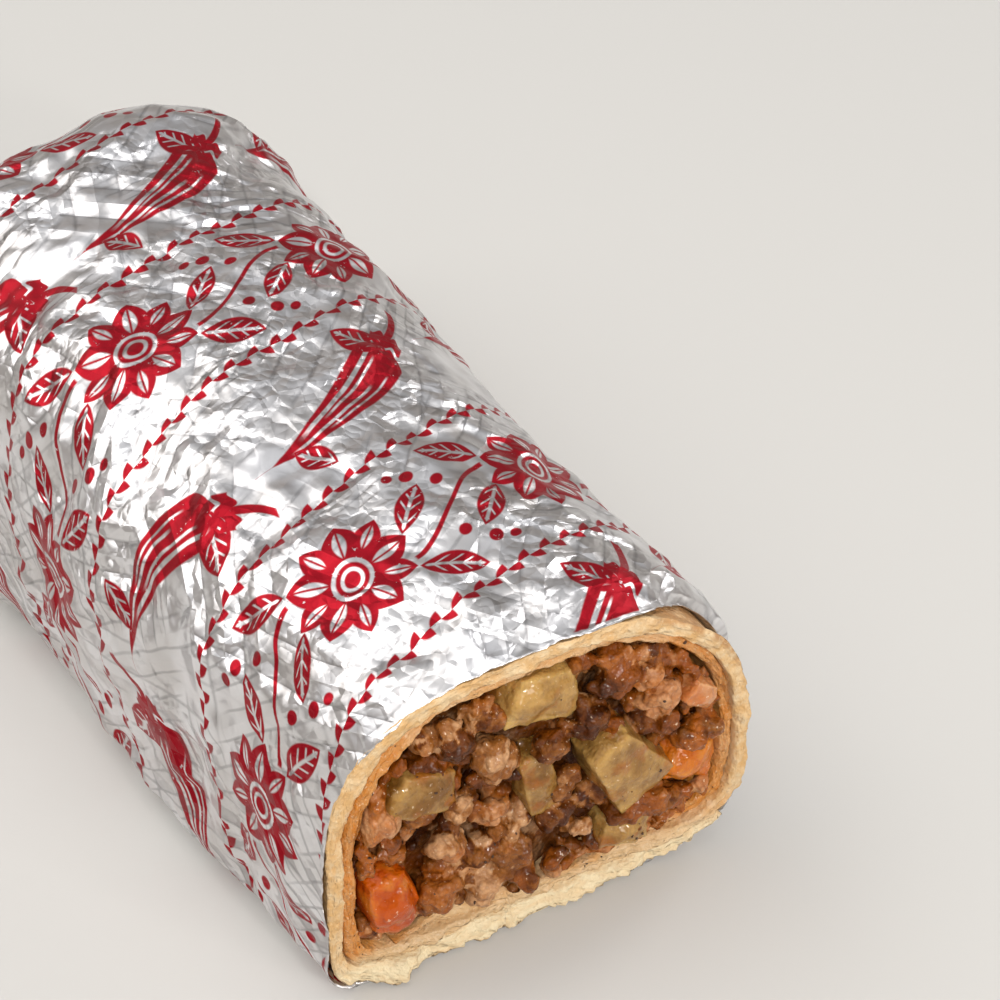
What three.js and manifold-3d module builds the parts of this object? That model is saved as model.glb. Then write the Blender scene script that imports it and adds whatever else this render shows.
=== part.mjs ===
// Half of a foil-wrapped burrito, cut across and lying on its side.
// Millimetres, +Z up. The cut faces -Y and the folded, shut end of the foil faces +Y.
// The half is built with its bottom on z = 0 and its cut at y = 0, and the exported group
// then moves it so that the origin is at the middle of its footprint.

import * as THREE from 'three';
import { mergeVertices } from 'three/addons/utils/BufferGeometryUtils.js';
import Module from 'manifold-3d';

const wasm = await Module();
wasm.setup();

// Driving dimensions
const cutWidth = 58;            // the half measured across its cut
const cutHeight = 49;
const bellyHeight = 17.8;       // height of the widest point of the section
const length = 129;             // from the cut to the folded end
const farWidening = 6.2;        // how much wider the half is where the end fold begins
const farRise = 0.4;
const wideningLength = 89;
const endRounding = 20.5;       // length over which the far end draws in
const endDrawIn = 0.93;         // how far along its round the end stops, blunt
const endLift = 4;              // how far the blunt end's lower edge stands off the table
const bow = -1.9;               // sideways bend at mid-length
const cutYaw = THREE.MathUtils.degToRad(6.4);   // the knife ran askew: the +X side is longer
const cutYawFade = 37;          // over this length the askew cut dies away along the half

// Section exponents of the four quarters: 2 is an ellipse, 8 nearly a square corner
const roundness = { topRight: 2.5, topLeft: 3, bottomLeft: 8, bottomRight: 3.5 };

const foilThickness = 0.5;
const foilBehindCut = 1.9;      // the foil's cut edge lies behind the tortilla's by this much
const foilReliefFine = 0.55;    // crumples, outwards from the true outline
const foilReliefBroad = 0.6;
const pleatDepth = 1.1;         // pleats on the folded end
const pleatCount = 11;
const cornerFlare = 1.6;        // the foil's corner at bottom left stands off at the cut
const flatBelow = 0.7;          // foil lower than this lies flat on the table

const gap = 0.3;                // clearance between neighbouring solids
const sheetGap = 0.2;           // between the layers of the roll
const sheetThickness = 1.35;    // the flour tortilla
const doughyBottom = 1.35;      // its layers are this much thicker under the filling
const sheetTurns = 2.28;        // turns of the rolled tortilla, seen at the cut
const rollStart = 0.93;         // where along the outline its outer edge lies, near bottom right
const slideUnder = 0.1;         // share of a turn in which a layer slides under the one before
const lipSpread = 0.5;          // the cut squeezes the tortilla's lip out over the foil's edge
const lipDepth = 1.4;
const tornCorner = { place: 0.262, reach: 3, spread: 0.014 };     // torn tongue, bottom left

const mincePacking = 1.2;       // how far the mince between its crumbs lies behind the cut
const deepestPacking = 3;
const heartHeight = 24;         // height of the filling's middle at the cut
const endHeart = 19;            // and at the folded end
const standProud = 6;           // more than any piece stands out in front of the cut
const crumbCount = 40;
const crumbRadius = { least: 1.35, most: 2.7 };
const largeCrumbs = [           // the crumbs that stand out at the cut, some longer than wide
  { x: 9.4, z: 39.4, radius: 2.5, long: 1.6, turn: -18 },
  { x: 14.6, z: 34, radius: 2.7, long: 1.1, turn: 40 },
  { x: 5.4, z: 34.4, radius: 2.3, long: 1, turn: 0 },
  { x: -22.4, z: 31.6, radius: 2.8, long: 1.15, turn: 60 },
  { x: -7.4, z: 34.6, radius: 3.1, long: 1.25, turn: 75 },
  { x: -14.2, z: 13.2, radius: 3, long: 1.05, turn: 10 },
  { x: -8.9, z: 11.2, radius: 2.4, long: 1.1, turn: -70 },
];
const hollows = [               // dark gaps in the filling, as seen at the cut
  { x: -2.6, z: 37.6, radius: 3.6, depth: 7.5 },
  { x: 3.6, z: 28.6, radius: 2.7, depth: 6 },
  { x: -16.4, z: 37.6, radius: 2, depth: 3.5 },
  { x: -7.4, z: 27.6, radius: 1.7, depth: 3.5 },
];

// Pieces that show in the mince: place on the cut, size across, up and along the half,
// turn seen at the cut, taper towards the upper end, and how far the piece stands out
const chunks = {
  potato_top: { x: -0.6, z: 41.6, across: 10.6, up: 7.6, deep: 11, turn: -16, taper: 0.86, out: 1.1 },
  potato_kite: { x: 10.3, z: 24.1, across: 9.6, up: 13.6, deep: 8, turn: 27, taper: 0.62, out: 2.4 },
  potato_left: { x: -15.9, z: 33, across: 9.4, up: 6.2, deep: 9, turn: -20, taper: 0.84, out: 0.9 },
  potato_middle: { x: -0.8, z: 26.4, across: 5.2, up: 11.6, deep: 8, turn: 12, taper: 0.8, out: 0.6 },
  potato_low: { x: 10.9, z: 10.9, across: 8, up: 5.4, deep: 9, turn: -12, taper: 0.85, out: 1.3 },
  carrot_piece: { x: -20.4, z: 14.9, across: 6.6, up: 10.6, deep: 12, turn: 4, taper: 0.9, out: 0.8 },
  tomato_piece: { x: 20.6, z: 18.4, across: 9, up: 6.4, deep: 9, turn: -22, taper: 0.8, out: 0.7 },
  onion_piece: { x: 20.6, z: 31.4, across: 5, up: 3.2, deep: 4, turn: -42, taper: 0.8, out: 1.2 },
};
const chunkSquareness = 0.62;   // 0 is a ball, 1 a box

// How finely the solids are divided
const sheetColumns = 32;        // in one turn
const foilColumns = 2 * sheetColumns;
const foilSpacing = 9;          // between the foil's cross-sections along the straight part
const endRings = 3;
const packingRings = 4;
const stations = [0, 1.4, 4, 12, 40, 70, 92, 110, 117, 121.5, 124.7];   // cross-sections of the roll

const rollEnd = length - 2;     // the roll stops short of the foil's end

function seededRandom(seed) {
  let state = seed;
  return () => {
    state = (state + 0x6D2B79F5) | 0;
    let mixed = Math.imul(state ^ (state >>> 15), 1 | state);
    mixed = (mixed + Math.imul(mixed ^ (mixed >>> 7), 61 | mixed)) ^ mixed;
    return ((mixed ^ (mixed >>> 14)) >>> 0) / 4294967296;
  };
}

// Smooth noise from -1 to 1: a chance value at each whole-numbered point, eased between them
function chanceValue(x, y, z) {
  const spread = Math.sin(x * 127.1 + y * 311.7 + z * 74.7) * 43758.5453;
  return 2 * (spread - Math.floor(spread)) - 1;
}

function noise(x, y, z) {
  const cell = [x, y, z].map(Math.floor);
  const eased = [x, y, z].map((value, axis) => THREE.MathUtils.smoothstep(value - cell[axis], 0, 1));
  const share = (axis, step) => (step ? eased[axis] : 1 - eased[axis]);
  let total = 0;
  for (const i of [0, 1]) {
    for (const j of [0, 1]) {
      for (const k of [0, 1]) {
        const weight = share(0, i) * share(1, j) * share(2, k);
        total += weight * chanceValue(cell[0] + i, cell[1] + j, cell[2] + k);
      }
    }
  }
  return total;
}

// The body's section

function powered(value, exponent) {
  return Math.sign(value) * Math.abs(value) ** (2 / exponent);
}

// Width, height and height of the widest point of the half at y behind the cut
function girth(y) {
  const along = THREE.MathUtils.smoothstep(y, 0, wideningLength);
  const intoEnd = endDrawIn * THREE.MathUtils.clamp((y - length + endRounding) / endRounding, 0, 1);
  const narrow = (1 - intoEnd ** 4) ** (1 / 4);
  const low = (1 - intoEnd ** 3.2) ** (1 / 3.2);
  const height = (cutHeight + farRise * along) * low;
  return {
    width: (cutWidth + farWidening * along) * narrow,
    height,
    belly: bellyHeight * height / cutHeight,
    lift: endLift * intoEnd ** 6,
  };
}

// A point of the section at an angle, some way in from the outline
function sectionPoint(angle, y, inset) {
  const { width, height, belly, lift } = girth(y);
  const right = Math.cos(angle) >= 0;
  const upper = Math.sin(angle) >= 0;
  const side = upper ? 'top' : 'bottom';
  const exponent = roundness[side + (right ? 'Right' : 'Left')];
  const rise = upper ? height - belly : belly - lift;
  const x = (width / 2 - inset) * powered(Math.cos(angle), exponent);
  const under = upper ? 1 : doughyBottom;
  const depth = inset + (under - 1) * Math.max(0, inset - foilThickness - gap);
  const z = belly + (rise - depth) * powered(Math.sin(angle), exponent);
  return new THREE.Vector3(x, y, z);
}

// The askew cut and the bend, applied to a point of the straight half
function settle(point) {
  const askew = -point.x * Math.tan(cutYaw) * Math.max(0, 1 - Math.max(point.y, 0) / cutYawFade);
  const bent = bow * Math.sin(Math.PI * THREE.MathUtils.clamp(point.y / length, 0, 1));
  return new THREE.Vector3(point.x + bent, point.y + askew, point.z);
}

// Angles that divide the outline into equal lengths, anticlockwise from the +X side
function evenAngles(count) {
  const fine = 4000;
  const lengths = [0];
  let before = sectionPoint(0, 0, 2);
  for (let i = 1; i <= fine; i++) {
    const here = sectionPoint(2 * Math.PI * i / fine, 0, 2);
    lengths.push(lengths[i - 1] + here.distanceTo(before));
    before = here;
  }
  const angles = [];
  let step = 0;
  for (let i = 0; i < count; i++) {
    while (lengths[step + 1] < lengths[fine] * i / count) step++;
    const within = (lengths[fine] * i / count - lengths[step]) / (lengths[step + 1] - lengths[step]);
    angles.push(2 * Math.PI * (step + within) / fine);
  }
  return angles;
}

// Closed meshes from grids of points

// Rings of equal length joined into a tube, each end closed by a point
function closedTube(rings, firstTip, lastTip) {
  const count = rings[0].length;
  const points = [firstTip, ...rings.flat(), lastTip];
  const faces = [];
  const at = (ring, i) => 1 + ring * count + (i % count);
  const last = points.length - 1;
  for (let i = 0; i < count; i++) {
    faces.push([0, at(0, i), at(0, i + 1)]);
    faces.push([last, at(rings.length - 1, i + 1), at(rings.length - 1, i)]);
    for (let ring = 0; ring + 1 < rings.length; ring++) {
      faces.push([at(ring, i), at(ring + 1, i), at(ring, i + 1)]);
      faces.push([at(ring, i + 1), at(ring + 1, i), at(ring + 1, i + 1)]);
    }
  }
  return meshOf(points, faces);
}

// A bent slab: place(column, row, side) gives its points, side 0 inner and 1 outer
function closedSlab(columns, rows, place) {
  const points = [];
  const at = (i, j, side) => (side * (rows + 1) + j) * (columns + 1) + i;
  for (const side of [0, 1]) {
    for (let j = 0; j <= rows; j++) {
      for (let i = 0; i <= columns; i++) points.push(place(i, j, side));
    }
  }
  const faces = [];
  const quad = (a, b, c, d) => faces.push([a, c, b], [a, d, c]);
  for (let i = 0; i < columns; i++) {
    for (let j = 0; j < rows; j++) {
      quad(at(i, j, 1), at(i, j + 1, 1), at(i + 1, j + 1, 1), at(i + 1, j, 1));
      quad(at(i, j, 0), at(i + 1, j, 0), at(i + 1, j + 1, 0), at(i, j + 1, 0));
    }
    quad(at(i, 0, 0), at(i, 0, 1), at(i + 1, 0, 1), at(i + 1, 0, 0));
    quad(at(i, rows, 0), at(i + 1, rows, 0), at(i + 1, rows, 1), at(i, rows, 1));
  }
  for (let j = 0; j < rows; j++) {
    quad(at(0, j, 0), at(0, j + 1, 0), at(0, j + 1, 1), at(0, j, 1));
    quad(at(columns, j, 0), at(columns, j, 1), at(columns, j + 1, 1), at(columns, j + 1, 0));
  }
  return meshOf(points, faces);
}

function meshOf(points, faces) {
  const geometry = new THREE.BufferGeometry();
  const flat = points.flatMap((point) => [point.x, point.y, point.z]);
  geometry.setAttribute('position', new THREE.Float32BufferAttribute(flat, 3));
  geometry.setIndex(faces.flat());
  return geometry;
}

function solidOf(geometry) {
  const bare = geometry.clone();
  bare.deleteAttribute('normal');
  bare.deleteAttribute('uv');
  const merged = mergeVertices(bare, 1e-4);
  return new wasm.Manifold(new wasm.Mesh({
    numProp: 3,
    vertProperties: new Float32Array(merged.attributes.position.array),
    triVerts: new Uint32Array(merged.index.array),
  }));
}

// The largest body of a solid, without loose scraps
function geometryOf(solid) {
  const bodies = solid.decompose().sort((a, b) => b.volume() - a.volume());
  const mesh = bodies[0].getMesh();
  const geometry = new THREE.BufferGeometry();
  geometry.setAttribute('position', new THREE.Float32BufferAttribute(mesh.vertProperties, 3));
  geometry.setIndex(Array.from(mesh.triVerts));
  return geometry;
}

// Foil: a thin shell round the sides and the far end, crumpled outwards

// Broad dents and fine facets, none where the foil lies on the table
function foilRelief(point) {
  if (point.z < flatBelow) return 0;
  const broad = 0.5 + noise(point.x / 21 + 3, point.y / 24 + 7, point.z / 21);
  const fine = Math.abs(noise(point.x / 7, point.y / 9 + 11, point.z / 7 + 5));
  return foilReliefBroad * THREE.MathUtils.clamp(broad, 0, 1) + 2 * foilReliefFine * fine;
}

function foilRing(angles, y, inset, crumpled) {
  return angles.map((angle, i) => {
    const base = sectionPoint(angle, y, inset);
    const relief = crumpled ? foilRelief(base) : 0;
    const point = sectionPoint(angle, y, inset - relief);
    if (crumpled && point.z < flatBelow) point.z = y < length - endRounding ? 0 : Math.max(0, point.z);
    const edgeNoise = noise(i / 3, inset, 1.7);
    const nearCut = THREE.MathUtils.clamp(1 - (y - foilBehindCut) / 4, 0, 1);
    point.y += 1.1 * edgeNoise * nearCut;
    const corner = Math.exp(-((point.z / 5) ** 2)) * (point.x < 0 ? 1 : 0);
    point.x -= cornerFlare * corner * nearCut;
    return settle(point);
  });
}

// Rings that close the end: each is the end's outline drawn in towards a middle point
function endCap(outline, middle, rings, relief) {
  const caps = [];
  for (let k = 1; k < rings; k++) {
    const part = 1 - k / rings;
    caps.push(outline.map((point, i) => {
      const drawn = middle.clone().lerp(point, part);
      drawn.y += relief(part, i / outline.length);
      return drawn;
    }));
  }
  return caps;
}

function makeFoil() {
  const angles = evenAngles(foilColumns);
  const sections = [foilBehindCut];
  while (sections.at(-1) + foilSpacing < length - endRounding) sections.push(sections.at(-1) + foilSpacing);
  sections.push(...stations.filter((y) => y > length - endRounding), rollEnd, length);
  const outer = sections.map((y) => foilRing(angles, y, 0, true));
  const endMiddle = settle(new THREE.Vector3(0, length + 0.6, endHeart));
  const pleats = (part, turn) => pleatDepth * part * Math.sin(2 * Math.PI * turn * pleatCount) ** 2;
  outer.push(...endCap(outer.at(-1), endMiddle, endRings, pleats));

  const liningEnd = length - foilThickness - gap;
  const behindEdge = stations.filter((y) => y > foilBehindCut + 1);
  const liningSections = [foilBehindCut, ...behindEdge, rollEnd, liningEnd];
  const lining = liningSections.map((y) => foilRing(angles, y, foilThickness, false));
  const liningMiddle = settle(new THREE.Vector3(0, liningEnd, endHeart));
  // The surface runs from the lining's middle out to the cut edge and back to the end's middle
  return closedTube([...lining.reverse(), ...outer], liningMiddle, endMiddle);
}

// Flour tortilla: one sheet rolled inwards

// How many layers deep the sheet lies after some turns of the roll
function layersDeep(turns) {
  const within = turns - Math.floor(turns);
  return Math.floor(turns) + THREE.MathUtils.smoothstep(within, 1 - slideUnder, 1);
}

const foilAndGap = foilThickness + gap;
const layerPitch = sheetThickness + sheetGap;

// Point of the sheet after some turns, 0 its inner and 1 its outer face
function sheetPoint(angles, column, y, face) {
  const turns = column / sheetColumns;
  const place = ((rollStart - turns) % 1 + 1) % 1;
  const angle = angles[Math.round(place * sheetColumns) % sheetColumns];
  const endTaper = THREE.MathUtils.clamp(Math.min(turns, sheetTurns - turns) * 14 + 0.35, 0, 1);
  const thickness = sheetThickness * endTaper;
  let inset = foilAndGap + layerPitch * layersDeep(turns) + (1 - face) * thickness;
  if (turns < 1) inset -= lipSpread * face * THREE.MathUtils.clamp(1 - y / lipDepth, 0, 1);
  const point = sectionPoint(angle, y, inset);
  const ragged = 0.5 * noise(column * 0.83, face * 1.3, 4.2) + 0.35 * noise(column * 2.9, face, 9.1);
  const torn = tornCorner.reach * Math.exp(-(((turns - tornCorner.place) / tornCorner.spread) ** 2));
  const nearCut = THREE.MathUtils.clamp(1 - y / 5, 0, 1);
  point.y += (ragged - torn * (turns < 1 ? 1 : 0)) * nearCut;
  return settle(point);
}

function makeTortilla() {
  const angles = evenAngles(sheetColumns);
  const columns = Math.round(sheetTurns * sheetColumns);
  const sections = [...stations, rollEnd];
  return closedSlab(columns, sections.length - 1, (i, j, face) => sheetPoint(angles, i, sections[j], face));
}

// Filling

// Inset of the filling's outer face: inside the innermost layer of the sheet
function fillingInset(column) {
  const turnsHere = ((rollStart - column / sheetColumns) % 1 + 1) % 1;
  let deepest = 0;
  for (let turns = turnsHere; turns <= sheetTurns + 1 / sheetColumns; turns++) {
    deepest = Math.max(deepest, layersDeep(turns));
  }
  return foilAndGap + layerPitch * (deepest + 1) + gap - sheetGap;
}

function fillingRing(angles, y) {
  return angles.map((angle, i) => settle(sectionPoint(angle, y, fillingInset(i))));
}

// The room inside the roll, drawn out in front of the cut so that pieces can stand proud
function makeRoom() {
  const angles = evenAngles(sheetColumns);
  const rings = [-standProud, ...stations, rollEnd].map((y) => fillingRing(angles, y));
  const middle = (y) => settle(new THREE.Vector3(0, y, heartHeight));
  return solidOf(closedTube(rings, middle(-standProud), middle(rollEnd)));
}

// How far the packed mince lies behind the cut
function packingDepth(x, z) {
  const rough = 0.9 * noise(x / 4.5, z / 4.5, 2.1);
  let depth = mincePacking + rough;
  for (const hollow of hollows) {
    const away = Math.hypot(x - hollow.x, z - hollow.z) / hollow.radius;
    depth += hollow.depth * Math.max(0, 1 - away * away);
  }
  return depth;
}

function makePacking() {
  const angles = evenAngles(sheetColumns);
  const rings = [];
  for (let k = 1; k <= packingRings; k++) {
    const out = (k / packingRings) ** 0.8;
    rings.push(angles.map((angle, i) => {
      const point = sectionPoint(angle, 0, fillingInset(i));
      const x = point.x * out;
      const z = heartHeight + (point.z - heartHeight) * out;
      return settle(new THREE.Vector3(x, packingDepth(x, z), z));
    }));
  }
  const behindCut = stations.filter((y) => y > deepestPacking);
  rings.push(...[...behindCut, rollEnd].map((y) => fillingRing(angles, y)));
  const frontMiddle = settle(new THREE.Vector3(0, packingDepth(0, heartHeight), heartHeight));
  return solidOf(closedTube(rings, frontMiddle, settle(new THREE.Vector3(0, rollEnd, endHeart))));
}

// A cut piece of vegetable: a box with eased edges, uneven, larger by grow on every side
function makeChunk({ x, z, across, up, deep, turn, taper, out }, seed, grow) {
  const geometry = new THREE.BoxGeometry(2, 2, 2, 3, 3, 3);
  const position = geometry.attributes.position;
  const point = new THREE.Vector3();
  for (let i = 0; i < position.count; i++) {
    point.fromBufferAttribute(position, i);
    const ball = point.clone().normalize().multiplyScalar(1.22);
    const eased = ball.lerp(point, chunkSquareness);
    const uneven = 1 + 0.12 * noise(eased.x * 1.4 + seed * 7.3, eased.y * 1.4, eased.z * 1.4);
    const narrow = THREE.MathUtils.lerp(1, taper, (eased.z + 1) / 2);
    eased.multiplyScalar(uneven);
    eased.x *= (across / 2 + grow) * narrow;
    eased.y *= deep / 2 + grow;
    eased.z *= up / 2 + grow;
    position.setXYZ(i, eased.x, eased.y, eased.z);
  }
  geometry.rotateY(THREE.MathUtils.degToRad(-turn));
  const place = settle(new THREE.Vector3(x, deep / 2 - out, z));
  geometry.translate(place.x, place.y, place.z);
  return solidOf(geometry);
}

// Crumbs of mince spread over the cut, the widest free spot first
function crumbPlaces() {
  const random = seededRandom(41);
  const places = largeCrumbs.map((crumb) => ({ ...crumb }));
  const tries = 60;
  while (places.length < largeCrumbs.length + crumbCount) {
    let best = null;
    for (let attempt = 0; attempt < tries; attempt++) {
      const edge = sectionPoint(random() * 2 * Math.PI, 0, 6);
      const out = Math.sqrt(random()) * 0.93;
      const spot = { x: edge.x * out, z: heartHeight + (edge.z - heartHeight) * out };
      const away = (other) => Math.hypot(spot.x - other.x, spot.z - other.z);
      if (hollows.some((hollow) => away(hollow) < hollow.radius * 1.15)) continue;
      spot.room = Math.min(...places.map(away));
      if (!best || spot.room > best.room) best = spot;
    }
    places.push(best);
  }
  return places;
}

// A crumb's size, stretch, turns and depth behind the cut, by chance where they aren't given
function crumbForm(place, seed) {
  const random = seededRandom(900 + seed);
  const chance = Array.from({ length: 6 }, random);
  const spread = crumbRadius.most - crumbRadius.least;
  const radius = place.radius ?? crumbRadius.least + spread * chance[0] ** 1.6;
  const behind = packingDepth(place.x, place.z) - radius * (0.1 + 0.75 * chance[5]);
  return {
    radius,
    stretch: [place.long ?? 1.05 + 0.5 * chance[1], 1, 0.8 + 0.3 * chance[2]],
    turn: THREE.MathUtils.degToRad(place.turn ?? 180 * chance[3]),
    tip: place.radius ? 0 : (chance[4] - 0.5) * 1.2,
    depth: Math.max(behind, 0.55 * radius - 1.4),
  };
}

function makeCrumb(place, seed) {
  const { radius, stretch, turn, tip, depth } = crumbForm(place, seed);
  const geometry = new THREE.OctahedronGeometry(1, 1);
  const position = geometry.attributes.position;
  const point = new THREE.Vector3();
  for (let i = 0; i < position.count; i++) {
    point.fromBufferAttribute(position, i);
    const lumpy = 1 + 0.28 * noise(point.x * 1.6 + seed * 3.1, point.y * 1.6, point.z * 1.6);
    position.setXYZ(i, point.x * lumpy, point.y * lumpy, point.z * lumpy);
  }
  geometry.scale(radius * stretch[0], radius * stretch[1], radius * stretch[2]);
  geometry.rotateY(turn);
  geometry.rotateX(tip);
  const spot = settle(new THREE.Vector3(place.x, depth, place.z));
  geometry.translate(spot.x, spot.y, spot.z);
  return solidOf(geometry);
}

// The object

const materials = {
  foil: new THREE.MeshStandardMaterial({ color: 0xc9cacf, metalness: 0.95, roughness: 0.32 }),
  tortilla: new THREE.MeshStandardMaterial({ color: 0xe0c28c, metalness: 0, roughness: 0.75 }),
  mince: new THREE.MeshStandardMaterial({ color: 0x96694a, metalness: 0, roughness: 0.5 }),
  potato: new THREE.MeshStandardMaterial({ color: 0xd3b271, metalness: 0, roughness: 0.4 }),
  carrot: new THREE.MeshStandardMaterial({ color: 0xd66a14, metalness: 0, roughness: 0.4 }),
  tomato: new THREE.MeshStandardMaterial({ color: 0xbf6a2a, metalness: 0, roughness: 0.3 }),
  onion: new THREE.MeshStandardMaterial({ color: 0xdca88c, metalness: 0, roughness: 0.3 }),
};

const half = new THREE.Group();

function addPart(name, geometry, material) {
  const mesh = new THREE.Mesh(geometry, material);
  mesh.name = name;
  half.add(mesh);
}

const room = makeRoom();
let mince = makePacking();
crumbPlaces().forEach((place, i) => {
  mince = mince.add(makeCrumb(place, i));
});
mince = mince.intersect(room);

let taken = null;
Object.entries(chunks).forEach(([name, chunk], i) => {
  let piece = makeChunk(chunk, i, 0).intersect(room);
  const pocket = makeChunk(chunk, i, gap);
  if (taken) piece = piece.subtract(taken);
  taken = taken ? taken.add(pocket) : pocket;
  mince = mince.subtract(pocket);
  addPart(name, geometryOf(piece), materials[name.split('_')[0]]);
});
addPart('minced_beef', geometryOf(mince), materials.mince);
addPart('flour_tortilla', makeTortilla(), materials.tortilla);
addPart('foil_wrap', makeFoil(), materials.foil);

const box = new THREE.Box3().setFromObject(half);
const middle = box.getCenter(new THREE.Vector3());
half.position.set(-middle.x, -middle.y, -box.min.z);

const burrito = new THREE.Group();
burrito.add(half);

export default burrito;
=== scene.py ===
import bpy
import bmesh
import math
from mathutils import Euler, Matrix, Vector, kdtree, noise
from mathutils.bvhtree import BVHTree


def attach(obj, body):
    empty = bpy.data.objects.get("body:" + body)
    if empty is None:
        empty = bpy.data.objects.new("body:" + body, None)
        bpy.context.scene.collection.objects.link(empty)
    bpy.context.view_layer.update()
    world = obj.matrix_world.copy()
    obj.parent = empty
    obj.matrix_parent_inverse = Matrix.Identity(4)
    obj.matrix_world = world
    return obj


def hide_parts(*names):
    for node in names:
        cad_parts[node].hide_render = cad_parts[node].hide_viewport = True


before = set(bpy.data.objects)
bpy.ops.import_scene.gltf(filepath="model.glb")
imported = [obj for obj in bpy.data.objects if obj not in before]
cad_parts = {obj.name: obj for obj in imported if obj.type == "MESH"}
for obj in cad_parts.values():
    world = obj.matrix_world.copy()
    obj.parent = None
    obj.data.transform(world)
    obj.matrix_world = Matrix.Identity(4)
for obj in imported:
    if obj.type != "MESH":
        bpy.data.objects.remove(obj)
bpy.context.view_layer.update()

# Half of a foil-wrapped burrito. Sizes here are millimetres; mm turns them into metres.
mm = 0.001

# The half as the solids have it: its section, its roll and what shows at its cut
half = {
    "width": 58, "height": 49, "belly": 17.8, "length": 129,
    "farWidening": 6.2, "farRise": 0.4, "wideningLength": 89,
    "endRounding": 20.5, "endDrawIn": 0.93, "endLift": 4,
    "bow": -1.9, "cutYaw": math.radians(6.4), "cutYawFade": 37,
    "roundness": {"topRight": 2.5, "topLeft": 3, "bottomLeft": 8, "bottomRight": 3.5},
    "doughyBottom": 1.35, "foilAndGap": 0.8,
    "shift": Vector((1.39, -62.84, 0)),
}


# Shapes of the half, in millimetres

def clamp(value, low=0.0, high=1.0):
    return max(low, min(high, value))


def easeStep(value, low, high):
    part = clamp((value - low) / (high - low))
    return part * part * (3 - 2 * part)


def blend(a, b, part):
    return a + (b - a) * part


def chanceValue(x, y, z):        # the same chance values as the solids use
    spread = math.sin(x * 127.1 + y * 311.7 + z * 74.7) * 43758.5453
    return 2 * (spread - math.floor(spread)) - 1


def softNoise(x, y, z):          # from -1 to 1, eased between whole-numbered points
    cell = [math.floor(v) for v in (x, y, z)]
    eased = [easeStep(v - c, 0, 1) for v, c in zip((x, y, z), cell)]
    total = 0
    for i in (0, 1):
        for j in (0, 1):
            for k in (0, 1):
                weight = 1
                for axis, step in enumerate((i, j, k)):
                    weight *= eased[axis] if step else 1 - eased[axis]
                total += weight * chanceValue(cell[0] + i, cell[1] + j, cell[2] + k)
    return total


def seededChance(seed):
    state = seed

    def draw():
        nonlocal state
        state = (state + 0x6D2B79F5) & 0xFFFFFFFF
        mixed = ((state ^ (state >> 15)) * (1 | state)) & 0xFFFFFFFF
        mixed = ((mixed + ((mixed ^ (mixed >> 7)) * (61 | mixed))) & 0xFFFFFFFF) ^ mixed
        return ((mixed ^ (mixed >> 14)) & 0xFFFFFFFF) / 4294967296
    return draw


def girth(y):                    # width, height, height of the widest point, lift of the end's lower edge
    along = easeStep(y, 0, half["wideningLength"])
    intoEnd = half["endDrawIn"] * clamp((y - half["length"] + half["endRounding"]) / half["endRounding"])
    width = (half["width"] + half["farWidening"] * along) * (1 - intoEnd ** 4) ** (1 / 4)
    height = (half["height"] + half["farRise"] * along) * (1 - intoEnd ** 3.2) ** (1 / 3.2)
    return width, height, half["belly"] * height / half["height"], half["endLift"] * intoEnd ** 6


def quarter(right, upper):
    return half["roundness"][("top" if upper else "bottom") + ("Right" if right else "Left")]


def sectionPoint(angle, y, inset, size=None):
    width, height, belly, lift = size or girth(y)
    c, s = math.cos(angle), math.sin(angle)
    power = 2 / quarter(c >= 0, s >= 0)
    rise = height - belly if s >= 0 else belly - lift
    depth = inset if s >= 0 else inset + (half["doughyBottom"] - 1) * max(0, inset - half["foilAndGap"])
    x = (width / 2 - inset) * math.copysign(abs(c) ** power, c)
    z = belly + (rise - depth) * math.copysign(abs(s) ** power, s)
    return Vector((x, y, z))


def settle(point):               # the askew cut and the bend
    askew = -point.x * math.tan(half["cutYaw"]) * max(0, 1 - max(point.y, 0) / half["cutYawFade"])
    bent = half["bow"] * math.sin(math.pi * clamp(point.y / half["length"]))
    return Vector((point.x + bent, point.y + askew, point.z))


def inFrame(point):              # millimetres of the half to metres of the frame
    return (point + half["shift"]) * mm


def outlineTable(count=4000):
    lengths = [0]
    before = sectionPoint(0, 0, 2)
    for i in range(1, count + 1):
        here = sectionPoint(2 * math.pi * i / count, 0, 2)
        lengths.append(lengths[-1] + (here - before).length)
        before = here
    table = []
    step = 0
    for i in range(2049):
        wanted = lengths[-1] * i / 2048
        while step < count - 1 and lengths[step + 1] < wanted:
            step += 1
        within = (wanted - lengths[step]) / (lengths[step + 1] - lengths[step])
        table.append(2 * math.pi * (step + within) / count)
    return table, lengths[-1]


evenAngles, outlineLength = outlineTable()


def angleAt(place):              # place runs 0 to 1 round the outline, anticlockwise from the +X side
    spot = (place % 1) * 2048
    low = int(spot)
    return blend(evenAngles[low], evenAngles[low + 1], spot - low)


# Meshes

def tint(r, g, b):               # a colour as a screen shows it, 0 to 255, to Blender's scale
    parts = [v / 255 for v in (r, g, b)]
    return tuple(v / 12.92 if v <= 0.04045 else ((v + 0.055) / 1.055) ** 2.4 for v in parts) + (1,)


def newPiece(name, bm, material, slot, stands=()):
    mesh = bpy.data.meshes.new(name)
    bm.to_mesh(mesh)
    bm.free()
    piece = bpy.data.objects.new(name, mesh)
    bpy.context.scene.collection.objects.link(piece)
    mesh.materials.append(material)
    mesh.shade_smooth()
    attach(piece, "root")
    if stands:
        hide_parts(*stands)
    print(f"{name}: {len(mesh.polygons)} faces")
    return piece


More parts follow.
